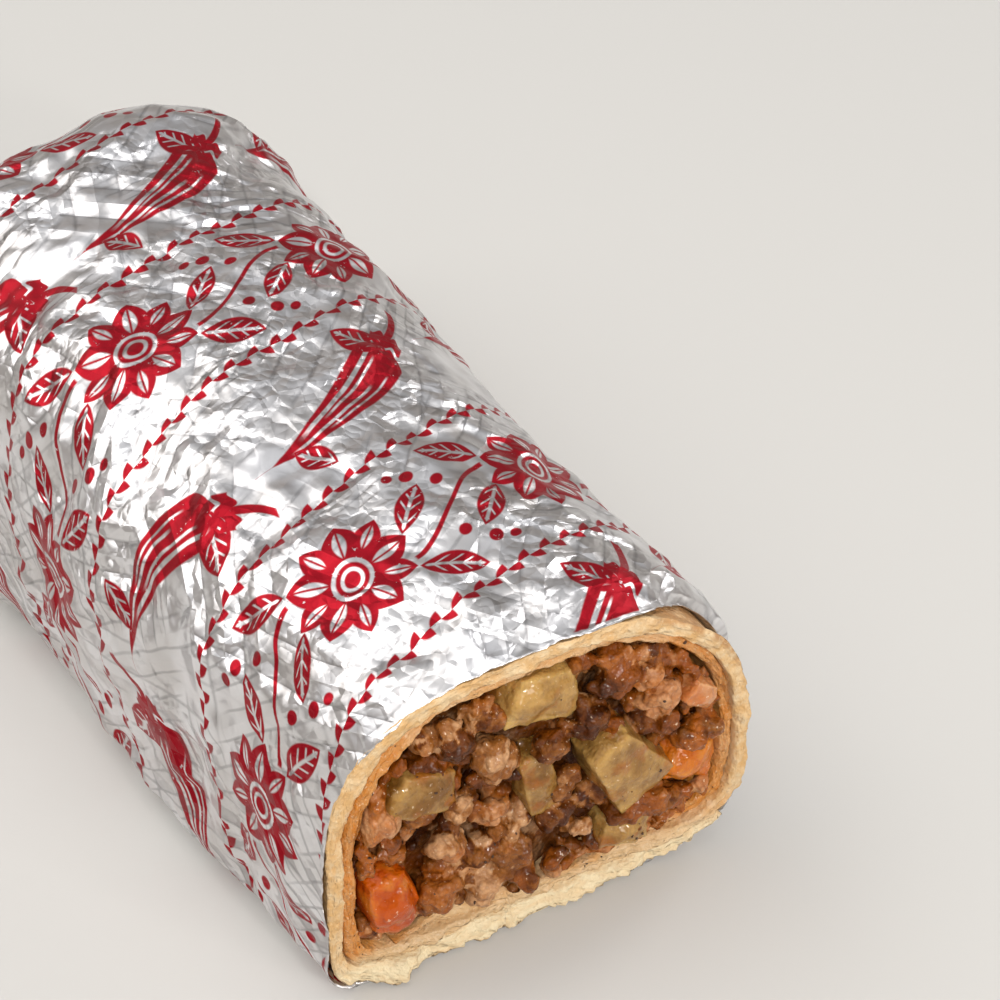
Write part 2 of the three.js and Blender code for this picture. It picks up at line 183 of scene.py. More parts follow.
def mappedGrid(columns, rows, place, uvScale=None):
    # a grid bent by place(column, row), its side edges joined, with an optional UV map
    bm = bmesh.new()
    bmesh.ops.create_grid(bm, x_segments=columns, y_segments=rows, size=1)
    spots = {v: (round((v.co.x + 1) / 2 * columns), round((v.co.y + 1) / 2 * rows)) for v in bm.verts}
    if uvScale:
        layer = bm.loops.layers.uv.new("wrap")
        for face in bm.faces:
            for loop in face.loops:
                loop[layer].uv = uvScale(*spots[loop.vert])
    for v, spot in spots.items():
        v.co = inFrame(place(*spot))
    bmesh.ops.remove_doubles(bm, verts=bm.verts, dist=1e-7)
    bmesh.ops.recalc_face_normals(bm, faces=bm.faces)
    return bm


# Shader nodes written as Python

class Wire:
    # a socket whose Python operators add Math nodes
    def __init__(self, board, socket):
        self.board = board
        self.socket = socket

    def math(self, operation, *others, **settings):
        values = dict(enumerate((self, *others)))
        return self.board.node("ShaderNodeMath", {"operation": operation, **settings}, values)

    def __add__(self, other):
        return self.math("ADD", other)

    __radd__ = __add__

    def __sub__(self, other):
        return self.math("SUBTRACT", other)

    def __rsub__(self, other):
        return self.board.node("ShaderNodeMath", {"operation": "SUBTRACT"}, {0: other, 1: self})

    def __mul__(self, other):
        return self.math("MULTIPLY", other)

    __rmul__ = __mul__

    def __truediv__(self, other):
        return self.math("DIVIDE", other)

    def __pow__(self, other):
        return self.math("POWER", other)

    def __abs__(self):
        return self.math("ABSOLUTE")

    def __mod__(self, other):
        return self.math("FLOORED_MODULO", other)

    def least(self, other):
        return self.math("MINIMUM", other)

    def most(self, other):
        return self.math("MAXIMUM", other)

    def ramp(self, low, high, start=0.0, end=1.0):
        values = {"Value": self, "From Min": low, "From Max": high, "To Min": start, "To Max": end}
        return self.board.node("ShaderNodeMapRange", {"interpolation_type": "SMOOTHSTEP"}, values)


class Board:
    # the nodes of one material, or of the world
    def __init__(self, owner, surface, **fixed):
        self.owner = owner
        owner.use_nodes = True
        self.tree = owner.node_tree
        self.surface = self.tree.nodes[surface]
        for socket, value in fixed.items():
            self.surface.inputs[socket.replace("_", " ")].default_value = value

    def node(self, kind, settings=None, values=None, out=0):
        made = self.tree.nodes.new(kind)
        for key, value in (settings or {}).items():
            if key == "stops":
                self.setStops(made.color_ramp, value)
            else:
                setattr(made, key, value)
        for key, value in (values or {}).items():
            self.join(made.inputs[key], value)
        return Wire(self, made.outputs[out])

    def setStops(self, ramp, stops):
        while len(ramp.elements) < len(stops):
            ramp.elements.new(0.5)
        for element, (place, colour) in zip(ramp.elements, stops):
            element.position = place
            element.color = colour

    def join(self, socket, value):
        if isinstance(value, Wire):
            self.tree.links.new(value.socket, socket)
        else:
            socket.default_value = value

    def feed(self, **sockets):
        for name, value in sockets.items():
            self.join(self.surface.inputs[name.replace("_", " ")], value)
        return self.owner

    def place(self):                 # object coordinates in millimetres
        source = self.node("ShaderNodeTexCoord", out="Object")
        return self.node("ShaderNodeVectorMath", {"operation": "SCALE"}, {0: source, "Scale": 1 / mm})

    def stretched(self, vector, scale):
        return self.node("ShaderNodeVectorMath", {"operation": "MULTIPLY"}, {0: vector, 1: scale})

    def moved(self, vector, offset):
        return self.node("ShaderNodeVectorMath", {"operation": "ADD"}, {0: vector, 1: offset})

    def parts(self, vector):
        made = self.tree.nodes.new("ShaderNodeSeparateXYZ")
        self.join(made.inputs[0], vector)
        return [Wire(self, made.outputs[i]) for i in range(3)]

    def attribute(self, name):
        return self.node("ShaderNodeAttribute", {"attribute_name": name}, out="Fac")

    def cloud(self, vector, scale, detail=3.0, coarseness=0.55):
        values = {"Vector": vector, "Scale": scale, "Detail": detail, "Roughness": coarseness}
        return self.node("ShaderNodeTexNoise", values=values)

    def mixed(self, part, low, high, how="MIX"):
        settings = {"data_type": "RGBA", "blend_type": how, "clamp_factor": True}
        return self.node("ShaderNodeMix", settings, {0: part, 6: low, 7: high}, out=2)

    def facets(self, vector, scale):  # flat facets meeting in creases, as crumpled foil has
        squares = []
        for offset in ((0, 0, 0), (7.3, 3.1, 5.7)):
            spot = self.moved(self.stretched(vector, (scale,) * 3), offset)
            distance = self.node("ShaderNodeTexVoronoi", values={"Vector": spot, "Scale": 1.0})
            squares.append(distance * distance)
        return squares[0] - squares[1]

    def fold(self, vector, across, spacing, seed, bend):
        # a zigzag along one direction, shown in patches: its height and its thin lines, which carry the
        # painted crease shade
        run = self.node("ShaderNodeVectorMath", {"operation": "DOT_PRODUCT"}, {0: vector, 1: across}, out=1)
        moved = self.moved(vector, (seed * 13.7, seed * 5.1, seed * 9.3))
        run = run / spacing + bend
        tent = abs(run % 1 - 0.5)
        shown = self.cloud(moved, 0.075, 0.0).ramp(0.47, 0.6)
        return tent * shown * spacing, (0.16 / spacing - tent).ramp(-0.05, 0.04) * shown

    def bump(self, height, distance, normal=None):
        values = {"Height": height, "Distance": distance * mm, "Strength": 1.0}
        if normal:
            values["Normal"] = normal
        return self.node("ShaderNodeBump", values=values)


def newPaint(name, **fixed):
    return Board(bpy.data.materials.new(name), "Principled BSDF", **fixed)


# Foil: a thin sheet with a red print, crumpled, folded shut at the far end

foil = {
    "columns": 340,
    "cutEdge": 0.45, "edgeWave": 0.35, "edgeNicks": 0.25,    # how far its edge lies behind the cut
    "freeEdge": 4,                            # the length over which the edge waves and spreads
    "edgeThickness": 0.12, "lining": 0.5,
    "step": 0.56,           # spacing of its rows
    "endRings": 26,
    "facets": ((31, 1.7), (14, 0.9), (7.5, 0.4)),    # size and height of its crumples
    "creases": (                              # direction across them, spacing, height
        ((0.55, 0.2, 0.81), 11, 1.3), ((-0.3, 0.65, 0.7), 8, 0.95), ((0.76, -0.57, 0.3), 13, 1.3),
        ((0.1, -0.51, 0.85), 6, 0.7), ((-0.2, 0.96, -0.2), 9.5, 0.95), ((0.9, 0.3, -0.32), 7, 0.8),
    ),
    "fineCreases": (
        ((0.5, 0.35, 0.79), 4.3), ((-0.4, 0.55, 0.73), 3.1),
        ((0.8, -0.5, 0.33), 5.2), ((0.05, -0.75, 0.66), 2.6),
    ),
    "crinkle": (3.3, 0.42),                   # finer ones, in patches
    "folds": (6.5, 1.0),                      # long ones, along the lower sides
    "lie": 0.6,                               # mean height of the crumples over the outline
    "cornerFlare": 1.6, "flatBelow": 0.7, "bareRight": 3.4, "hug": 0.34, "hugLength": 7,
    "pleats": 11, "pleatDepth": 1.2, "endHeart": 19, "endSwirl": 0.04, "endCrinkle": (6, 0.5),
    "silver": tint(232, 231, 233), "greySilver": tint(210, 207, 206), "printRed": tint(158, 8, 28),
    # painted shade: a darker grey laid along the fine crease lines
    "creasePaintedShade": tint(112, 110, 112),
    "printAcross": 6, "printRow": 25,         # motifs round the half, and the spacing of their rows
    "roughness": 0.26, "unevenGloss": 0.12, "inkRoughness": 0.08, "inkDulls": 0.2,
    "creaseShade": 0.4, "foldBump": (0.17, 0.14),    # height of the fine folds, and more low down
    "crinkleBump": (0.4, 0.25), "pinchBump": (0.55, 0.28),    # how many a millimetre, and their height
}


def foldHeight(point, size, seed):            # facets that meet in creases
    spot = point / size
    first = noise.voronoi(spot + Vector((seed, 0, 0)), distance_metric="DISTANCE_SQUARED")[0][0]
    second = noise.voronoi(spot + Vector((seed, 31.7, 12.9)), distance_metric="DISTANCE_SQUARED")[0][0]
    return first - second


def foilRelief(base):
    if base.z < foil["flatBelow"]:
        return 0
    broad = clamp(0.5 + softNoise(base.x / 21 + 3, base.y / 24 + 7, base.z / 21))
    height = foil["lie"] + 0.6 * broad
    for i, (size, tall) in enumerate(foil["facets"]):
        height += tall * foldHeight(base, size, 5.3 * i)
    size, tall = foil["crinkle"]
    patch = easeStep(noise.noise(base / 15 + Vector((4, 9, 2))), -0.05, 0.35)
    height += tall * (0.15 + 0.85 * patch) * foldHeight(base, size, 17.1)
    for i, (across, spacing, tall) in enumerate(foil["creases"]):
        seed = Vector((9.1 * i, 3.7, 5.2 * i))
        run = base.dot(Vector(across)) / spacing + 0.7 * noise.noise(base / 38 + seed)
        shown = easeStep(noise.noise(base / 14 - seed), -0.05, 0.25)
        height += tall * shown * (abs(run % 1 - 0.5) - 0.25)
    size, tall = foil["folds"]
    low = easeStep(base.z, 26, 8)
    height += tall * low * foldHeight(Vector((base.x, base.y * 0.28, base.z)), size, 23.7)
    settleDown = easeStep(base.z, foil["flatBelow"], 5)
    return max(-0.1, height) * settleDown


def foilRows():
    # each row as (kind, y, inset): the lining from the end to the cut edge, then the outside back again
    edge, length = foil["cutEdge"], half["length"]
    rows = [("lining", length - 0.9, foil["lining"])]
    for y in (120, 112, 100, 80, 55, 30, 12, edge + 5, edge + 2.4, edge + 1, edge + 0.35):
        rows.append(("lining", y, foil["lining"]))
    rows.append(("edge", edge, foil["edgeThickness"]))
    rows.append(("edge", edge, 0))
    y = edge
    while y < length - 4:
        y += foil["step"] * (0.6 if y < 8 else 1)
        rows.append(("outside", y, 0))
    while y < length - 0.1:
        y += foil["step"] * 0.45
        rows.append(("outside", min(y, length), 0))
    return rows


def buildFoil(material):
    rows = foilRows()
    columns = foil["columns"]
    caps = foil["endRings"]
    heart = settle(Vector((0, half["length"] + 0.6, foil["endHeart"])))
    sizes = [girth(y) for kind, y, inset in rows]
    rims = []

    def outsidePoint(i, j):
        kind, y, inset = rows[j]
        angle = angleAt(i / columns)
        turn = i / columns * 2 * math.pi
        wave = foil["edgeWave"] * noise.noise(Vector((9 * math.cos(turn), 9 * math.sin(turn), 1.7)))
        wave += foil["edgeNicks"] * noise.noise(Vector((40 * math.cos(turn), 40 * math.sin(turn), 4.1)))
        nearCut = clamp(1 - (y - foil["cutEdge"]) / foil["freeEdge"])
        base = sectionPoint(angle, y, inset, sizes[j])
        hug = easeStep(y, foil["hugLength"], foil["cutEdge"])
        lift = foilRelief(base) * (1 - 0.75 * hug) - foil["hug"] * hug * easeStep(base.z, 0.5, 3)
        if kind == "lining":
            close = clamp(1 - (y - foil["cutEdge"]) / 3)
            thin = foil["edgeThickness"]
            inset = max(blend(inset, thin, close) - lift * close, thin - lift)
            point = sectionPoint(angle, y, inset, sizes[j])
        else:
            point = sectionPoint(angle, y, inset - lift, sizes[j])
            if point.z < foil["flatBelow"]:
                point.z = 0 if y < half["length"] - half["endRounding"] else max(0, point.z)
            point.z += inset if kind == "edge" and point.z < foil["flatBelow"] else 0
        point.y += wave * nearCut
        upRight = easeStep(point.x, 9, 22) * easeStep(point.z, 14, 26)
        point.y += foil["bareRight"] * upRight * nearCut
        if point.x < 0:
            point.x -= foil["cornerFlare"] * math.exp(-((point.z / 5) ** 2)) * nearCut
        return settle(point)

    def capPoint(i, k):
        if not rims:
            rims.extend(outsidePoint(c, len(rows) - 1) for c in range(columns + 1))
        part = 1 - k / caps
        rim = rims[i % columns]
        point = heart.lerp(rim, part)
        swirl = i / columns + foil["endSwirl"] * (1 - part)
        gather = math.sin(2 * math.pi * swirl * foil["pleats"]) ** 2
        point.y += foil["pleatDepth"] * part * gather * easeStep(k, 0, 4)
        if 0 < k < caps:
            size, tall = foil["endCrinkle"]
            point.y += tall * foldHeight(point, size, 2.2) * easeStep(k, 0, 5)
        return point

    def place(i, j):
        i %= columns
        if j == 0:
            return settle(Vector((0, half["length"] - 0.9, foil["endHeart"])))
        if j <= len(rows):
            return outsidePoint(i, j - 1)
        return capPoint(i, j - len(rows))

    def wrapPlace(i, j):
        if j <= len(rows):
            y = rows[max(j - 1, 0)][1]
        else:
            y = half["length"] + (j - len(rows)) / caps * 22
        return i / columns * outlineLength / 100, y / 100

    bm = mappedGrid(columns, len(rows) + caps, place, wrapPlace)
    return newPiece("foilSheet", bm, material, "foil", ["foil_wrap"])


def turned(a, b, degrees, atA=0, atB=0):
    c, s = math.cos(math.radians(degrees)), math.sin(math.radians(degrees))
    return (a - atA) * c + (b - atB) * s, (b - atB) * c - (a - atA) * s


def lens(a, b, length, width, soft=0.14):     # 1 inside a pointed oval
    t = a / (length / 2)
    return (width / 2 * (1 - t * t) - abs(b)).ramp(-soft, soft)


def stroke(distance, thickness, soft=0.12):   # 1 along a line
    return (thickness / 2 - abs(distance)).ramp(-soft, soft)


def leafShape(a, b, length, width):           # a leaf with its veins left bare
    body = lens(a, b, length, width)
    veins = stroke(((a - abs(b) * 1.2) % 1.7) - 0.85, 0.34)
    inner = lens(a, b, length * 0.86, width * 0.72)
    return body * (1 - inner * veins.most(stroke(b, 0.42)))


def podShape(a, b):                           # a chilli pepper with its cap and stem
    spine = a * a * 0.021 - 1.7
    across = b - spine
    along = (a + 10) / 22.5
    plump = 4.1 * along.ramp(-0.03, 0.14) * (1 - along.most(0) ** 1.8).most(0)
    body = (plump - abs(across)).ramp(-0.15, 0.15)
    bare = stroke(across - plump * 0.5, 0.62) * along.ramp(0.08, 0.16) * along.ramp(0.82, 0.7)
    bare = bare.most(stroke(across - plump * 0.18, 0.36) * along.ramp(0.14, 0.2) * along.ramp(0.66, 0.56))
    bare = bare.most(stroke(across + plump * 0.3, 0.42) * along.ramp(0.3, 0.36) * along.ramp(0.9, 0.8))
    bare = bare.most(stroke(across + plump * 0.62, 0.3) * along.ramp(0.2, 0.26) * along.ramp(0.7, 0.6))
    scallop = (across * 2.6).math("COSINE") * 0.45
    cap = stroke(a + 10.4 - scallop, 1.9) * (2.7 - abs(across)).ramp(-0.15, 0.15)
    gap = stroke(a + 9.2 - scallop, 0.45)
    stem = stroke(b - 0.9 - (a + 10.5) * (a + 10.5) * 0.11, 1.25)
    stem = stem * a.ramp(-16.2, -15.9) * a.ramp(-10.6, -10.9)
    return (body * (1 - bare) * (1 - gap)).most(cap).most(stem)


def blossomShape(a, b):                       # ten petals in two rings round an eye
    reach = (a * a + b * b).math("SQRT")
    bearing = b.math("ARCTAN2", a)
    sector = 2 * math.pi / 5

    def ring(start, length, width, middle):
        fold = (bearing + start) % sector - sector / 2
        along = reach * fold.math("COSINE") - middle
        across = reach * fold.math("SINE")
        petal = lens(along, across, length, width)
        bare = lens(along - 0.3, across, length * 0.62, width * 0.34).most(0)
        lines = stroke(across, 0.3)
        return petal * (1 - bare * (1 - lines))

    behind = ring(sector / 2, 5.4, 3.4, 5.1)
    front = ring(0, 6.4, 4.7, 4.5)
    eye = (2.1 - reach).ramp(-0.15, 0.15) * (1 - stroke(reach - 1.25, 0.45))
    clear = (2.6 - reach).ramp(-0.1, 0.1)
    return (behind.most(front) * (1 - clear)).most(eye)


def foilMaterial():
    board = newPaint("printedFoil")
    place = board.place()
    source = board.node("ShaderNodeUVMap", {"uv_map": "wrap"})
    u, v, _ = board.parts(board.stretched(source, (100, 100, 0)))
    period = outlineLength / foil["printAcross"]
    row = foil["printRow"]
    slanted = v + u * (2 * row / outlineLength)
    odd = (slanted / row).math("FLOOR") % 2
    across = u + odd * (period / 2)
    a = across % period - period / 2
    b = slanted % row - row / 2
    flip = (across / period).math("FLOOR") % 2 * 2 - 1

    podA, podB = turned(a, b * flip, -22)
    leafA, leafB = turned(a, b * flip, 62, -6.4, 5.6)
    pods = podShape(podA, podB + 0.6).most(leafShape(leafA, leafB, 8.6, 4.4)) * (1 - odd)
    budA, budB = turned(a, b * flip, 62, 7.4, -6.8)
    pods = pods.most(leafShape(budA, budB, 6.4, 3.4) * (1 - odd))

    side = a.math("SIGN")
    farA, farB = abs(a), b * side             # the vine runs alike both ways from each blossom
    vine = stroke(farB - (farA * (2 * math.pi / period)).math("SINE") * 3.4, 0.75) * farA.ramp(6.6, 7)
    for degrees, atA, atB, length, width in ((40, 9.6, 7.4, 8.2, 3.9), (-42, 10.2, -2.9, 7.4, 3.5)):
        vine = vine.most(leafShape(*turned(farA, farB, degrees, atA, atB), length, width))
    for atA, atB, radius in ((13.2, 4.4, 0.8), (12.6, -7.2, 0.9), (10.6, -8.4, 0.7)):
        away = ((farA - atA) * (farA - atA) + (farB - atB) * (farB - atB)).math("SQRT")
        vine = vine.most((radius - away).ramp(-0.12, 0.12))
    vines = blossomShape(a, b).most(vine) * odd

    markA = across % (period / 9) - period / 18
    marks = lens(*turned(markA, abs(b) - row / 2, 55), 2.9, 1.5)
    inked = pods.most(vines).most(marks) * v.ramp(0.9, 1.2)
    wear = board.cloud(place, 0.9, 3.0, 0.7).ramp(0.66, 0.72)
    inked = inked * (1 - wear * 0.75)

    patch = board.cloud(place, 0.07, 1.0).ramp(0.37, 0.55)
    tone = board.cloud(place, 0.12, 2.0)
    silver = board.mixed(tone.ramp(0.3, 0.7), foil["silver"], foil["greySilver"])
    _, _, z = board.parts(place)
    low = z.ramp(30, 8)
    bend = board.cloud(place, 0.03, 0.0) * 2.2
    folded, lines = 0, 0
    for i, (way, spacing) in enumerate(foil["fineCreases"]):
        height, line = board.fold(place, way, spacing, i + 1, bend * (1 - 2 * (i % 2)))
        folded = folded + height
        lines = lines + line
    # painted shade: the fine crease lines darkened in the base colour
    silver = board.mixed(lines.least(1) * foil["creaseShade"], silver, foil["creasePaintedShade"])
    colour = board.mixed(inked, silver, foil["printRed"])
    roughness = foil["roughness"] + foil["unevenGloss"] * tone + foil["inkRoughness"] * inked
    crinkled = 0.1 + (patch * v.ramp(2, 26, 0.8, 1)).most(low * 0.6)
    scale, pinchHeight = foil["pinchBump"]
    pinched = abs(board.cloud(place, scale, 0.0) - 0.5)
    scale, crinkleHeight = foil["crinkleBump"]
    crumpled = crinkleHeight * board.facets(place, scale) + pinchHeight * pinched
    usual, lowDown = foil["foldBump"]
    height = folded * (usual + lowDown * low) + crinkled * crumpled
    normal = board.bump(height, 1)
    metallic = 1 - foil["inkDulls"] * inked
    return board.feed(Base_Color=colour, Roughness=roughness, Normal=normal, Metallic=metallic)


# Flour tortilla: one sheet rolled inwards, its layers pressed together at the cut

tortilla = {
    "turns": 2.28, "thickness": 1.35, "gap": 0.2, "start": 0.93, "slideUnder": 0.1,
    "pressed": 0.2,                           # the layers swell to nearly touch
    "unevenThickness": 0.5, "waver": 0.32, "endTaper": 14, "farRim": 118,
    "recess": 0.7, "unevenRecess": 1.1,       # how far the inner turns lie behind the cut
    "perTurn": 460,
    "lipSpread": 0.5, "lipDepth": 1.4,
    "torn": {"place": 0.262, "reach": 2, "spread": 0.014},
    "cream": tint(224, 199, 159), "golden": tint(210, 167, 110), "pale": tint(228, 210, 172),
    "toastedAt": (24, -65, 42), "soaked": tint(196, 122, 44), "toasted": tint(156, 100, 54),
    "steamed": tint(194, 150, 100), "flour": tint(244, 226, 190),
}
layerPitch = tortilla["thickness"] + tortilla["gap"]


def layersDeep(turns):
    whole = math.floor(turns)
    return whole + easeStep(turns - whole, 1 - tortilla["slideUnder"], 1)


def sheetDepth(turns):            # as layersDeep, but sinking as slowly as the sheet's outer end grows thick
    return sum(easeStep(turns, whole - 0.03, whole + 0.075) for whole in (1, 2))


def sheetProfile():
    # (y, face, round) along the sheet's own section: out along the inner face, over the cut, back outside
    near = (0.0, 0.25, 0.55, 0.95, 1.5, 2.2, 3.2, 4.6, 7, 11, 18, 30, 50, 75, 92, 110, 117, 121.5, 124.7, 127)
    across = [i / 9 for i in range(1, 9)]
    inner = [(y, 0.0) for y in reversed(near)]
    outer = [(y, 1.0) for y in near]
    return inner + [(0.0, face) for face in across] + outer


def buildTortilla(material):
    profile = sheetProfile()
    columns = round(tortilla["turns"] * tortilla["perTurn"])
    torn = tortilla["torn"]
    bm = bmesh.new()
    bmesh.ops.create_grid(bm, x_segments=columns, y_segments=len(profile) - 1, size=1)
    turnsLayer = bm.verts.layers.float.new("turns")
    faceLayer = bm.verts.layers.float.new("face")
    lastRow = len(profile) - 1
    for v in bm.verts:
        i, j = round((v.co.x + 1) / 2 * columns), round((v.co.y + 1) / 2 * lastRow)
        y, face = profile[j]
        turns = i / tortilla["perTurn"]
        v[turnsLayer] = turns
        v[faceLayer] = face
        angle = angleAt(tortilla["start"] - turns)
        taper = clamp(min(turns, tortilla["turns"] - turns) * tortilla["endTaper"] + 0.12)
        middle = half["foilAndGap"] + layerPitch * sheetDepth(turns) + tortilla["thickness"] / 2
        middle -= tortilla["thickness"] / 2 * (1 - taper) * (turns < 1)
        thick = (tortilla["thickness"] + tortilla["pressed"]) * taper
        thick *= 1 + tortilla["unevenThickness"] * noise.noise(Vector((turns * 17, 3.1, y * 0.2)))
        middle += tortilla["waver"] * noise.noise(Vector((turns * 11, 8.2, y * 0.15)))
        inset = max(middle + (0.5 - face) * thick, half["foilAndGap"] - 0.2)
        if turns < 1:
            inset -= tortilla["lipSpread"] * face * clamp(1 - y / tortilla["lipDepth"])
        point = sectionPoint(angle, y, inset)
        under = clamp(1 - point.z / 6)
        back = tortilla["recess"] + tortilla["unevenRecess"] * noise.noise(Vector((turns * 9, 5.5, 0)))
        back *= easeStep(turns, 0.98, 1.1)
        back *= 1 - 0.8 * easeStep(-point.x, 12, 22)
        ragged = back + 0.5 * softNoise(turns * 26.6, face * 1.3, 4.2)
        ragged += (0.3 + 0.5 * under) * noise.noise(Vector((turns * 42, face * 1.5, 6.3)))
        ragged += (0.4 + 0.4 * under) * noise.noise(Vector((turns * 95, face * 3, 9.1)))
        ragged += (0.25 + 0.4 * under) * noise.noise(Vector((turns * 230, face * 6, 2.7)))
        ragged += 0.3 * (2 * face - 1) ** 4
        if turns < 1:
            tear = 1 + 0.7 * noise.noise(Vector((turns * 150, face * 2, 8.8)))
            ragged -= torn["reach"] * tear * math.exp(-(((turns - torn["place"]) / torn["spread"]) ** 2))
        point.y += ragged * clamp(1 - y / 5)
        v.co = inFrame(settle(point))
    bmesh.ops.bridge_loops(bm, edges=[e for e in bm.edges if e.is_boundary and onFarRim(e, faceLayer)])
    bmesh.ops.holes_fill(bm, edges=[e for e in bm.edges if e.is_boundary], sides=0)
    bmesh.ops.recalc_face_normals(bm, faces=bm.faces)
    return newPiece("tortillaRoll", bm, material, "tortilla", ["flour_tortilla"])


def onFarRim(edge, faceLayer):                # an edge of the sheet's hidden far rim
    far = (half["shift"].y + tortilla["farRim"]) * mm
    return all(v.co.y > far for v in edge.verts) and edge.verts[0][faceLayer] == edge.verts[1][faceLayer]


def tortillaMaterial():
    board = newPaint("wheatTortilla")
    place = board.place()
    x, y, z = board.parts(place)
    turns = board.attribute("turns")
    face = board.attribute("face")
    mottle = board.cloud(place, 0.35, 3.0, 0.6)
    grain = board.cloud(place, 2.2, 1.0, 0.7)
    colour = board.mixed(mottle.ramp(0.35, 0.65), tortilla["cream"], tortilla["golden"])
    colour = board.mixed(z.ramp(7, 3), colour, tortilla["pale"])
    inner = turns.ramp(0.95, 1.08) * z.ramp(4, 7)
    stain = board.cloud(place, 0.16, 2.0).ramp(0.38, 0.6)
    sides = abs(x).ramp(10, 21)
    soak = inner * (0.15 + 0.3 * stain + 0.6 * sides + 0.2 * x.ramp(-12, -22))
    colour = board.mixed(soak, colour, tortilla["soaked"])
    steamed = turns.ramp(0.95, 1.08) * z.ramp(7, 4)      # the wet dough under the filling
    colour = board.mixed(steamed * 0.6, colour, tortilla["steamed"])
    skin = face.ramp(0.8, 1.0) * turns.ramp(1.02, 0.98)
    colour = board.mixed(skin * 0.45, colour, tortilla["golden"])
    spots = board.cloud(place, 0.09, 2.0).ramp(0.62, 0.7) * skin
    colour = board.mixed(spots * 0.8, colour, tortilla["toasted"])
    ends = {0: place, 1: tortilla["toastedAt"]}
    away = board.node("ShaderNodeVectorMath", {"operation": "DISTANCE"}, ends, out=1)
    scorch = away.ramp(15, 5) * (face * turns.ramp(1.02, 0.98)).ramp(0.55, 0.9) * mottle.ramp(0.3, 0.55)
    colour = board.mixed(scorch * 0.7, colour, tortilla["toasted"])
    colour = board.mixed(grain.ramp(0.6, 0.76) * 0.35, colour, tortilla["flour"])
    along = board.node("ShaderNodeCombineXYZ", values={0: turns * 70, 1: face * 5, 2: y * 0.4})
    leaves = board.cloud(along, 1.0, 2.0, 0.6)   # the dough's own fine layers
    colour = board.mixed(leaves.ramp(0.62, 0.4) * 0.3, colour, tortilla["golden"])
    normal = board.bump(grain, 0.16)
    normal = board.bump(leaves, 0.35, normal)
    normal = board.bump(board.cloud(place, 0.8, 2.0), 0.4, normal)
    return board.feed(Base_Color=colour, Roughness=0.66 - 0.34 * soak.most(steamed), Normal=normal)


# Filling: mince in crumbs, with diced vegetables

filling = {
    "packing": 1.2, "heart": 24, "crumbs": 40, "least": 1.35, "most": 2.7,
    "hollows": ((-2.6, 37.6, 4.3, 9), (3.6, 28.6, 3, 6.5), (-16.4, 37.6, 2.5, 4.5), (-7.4, 27.6, 2.2, 4.5)),
    "large": (                                # x, z, radius, length over radius, turn
        (9.4, 39.4, 2.5, 1.6, -18), (14.6, 34, 2.7, 1.1, 40), (5.4, 34.4, 2.3, 1, 0),
        (-22.4, 31.6, 2.8, 1.15, 60), (-7.4, 34.6, 3.1, 1.25, 75), (-14.2, 13.2, 3, 1.05, 10),
        (-8.9, 11.2, 2.4, 1.1, -70),
    ),
    "smallCrumbs": 440, "rimCrumbs": 84, "smallest": 0.7, "smallMost": 1.7,
    "slabBehind": 1.6, "overhang": 1.5,
    "cores": 0.84, "beads": 20, "smallBeads": 5, "rimBeads": 4,    # a crumb's core over its radius, its beads
    "sunk": 1.6,                              # how far a crumb sinks where it would hide a diced piece
    "slabDepth": 11, "voxel": 0.342,
    "bareDough": 4.5,                         # how far the mince lies back over the dough at the lower left
    "rollEnd": 127, "endHeart": 19, "crumbStretch": (1.3, 1, 0.9),
}

usualDice = {"square": 0.62, "clear": 0.2, "shade": 0.15}    # edges, room among the crumbs, darkness
chunks = {                                    # place and size at the cut, and how far each stands out
    "potato_top": {
        "at": (-0.6, 41.6), "size": (10.6, 11, 7.6), "turn": -16, "taper": 0.86, "out": 1.1,
        "clear": 0.3, "shade": 0,
    },
    "potato_kite": {
        "at": (10.3, 24.1), "size": (9.6, 8, 13.6), "turn": 27, "taper": 0.62, "out": 2.4,
        "clear": 0.26,
    },
    "potato_left": {
        "at": (-15.9, 33), "size": (9.4, 9, 6.2), "turn": -20, "taper": 0.84, "out": 0.9,
        "shade": 0.5,
    },
    "potato_middle": {
        "at": (-0.8, 26.4), "size": (5.2, 8, 11.6), "turn": 12, "taper": 0.8, "out": 0.6,
        "shade": 0.4,
    },
    "potato_low": {
        "at": (10.9, 10.9), "size": (8, 9, 5.4), "turn": -12, "taper": 0.85, "out": 1.3,
    },
    "carrot_piece": {
        "at": (-20.4, 14.9), "size": (6.6, 12, 10.6), "turn": 4, "taper": 0.9, "out": 0.8,
        "clear": 0.36, "square": 0.48,
    },
    "tomato_piece": {
        "at": (20.6, 18.4), "size": (9, 9, 6.4), "turn": -22, "taper": 0.8, "out": 0.7,
        "clear": 0.42, "square": 0.4,
    },
    "onion_piece": {
        "at": (20.6, 31.4), "size": (5, 4, 3.2), "turn": -42, "taper": 0.8, "out": 1.2,
    },
}
chunks = {name: {**usualDice, **own} for name, own in chunks.items()}


def packingDepth(x, z):
    depth = filling["packing"] + 0.9 * softNoise(x / 4.5, z / 4.5, 2.1)
    for hx, hz, radius, deep in filling["hollows"]:
        away = math.hypot(x - hx, z - hz) / radius
        depth += deep * max(0, 1 - away * away)
    return depth


def setBack(x, z):
    return filling["bareDough"] * easeStep(z, 9.5, 6.5) * easeStep(x, -3, -9)


def fillingInset(place):
    here = (tortilla["start"] - place) % 1
    deepest = 0
    while here <= tortilla["turns"] + 1 / 32:
        deepest = max(deepest, layersDeep(here))
        here += 1
    return half["foilAndGap"] + layerPitch * (deepest + 1) + 0.1


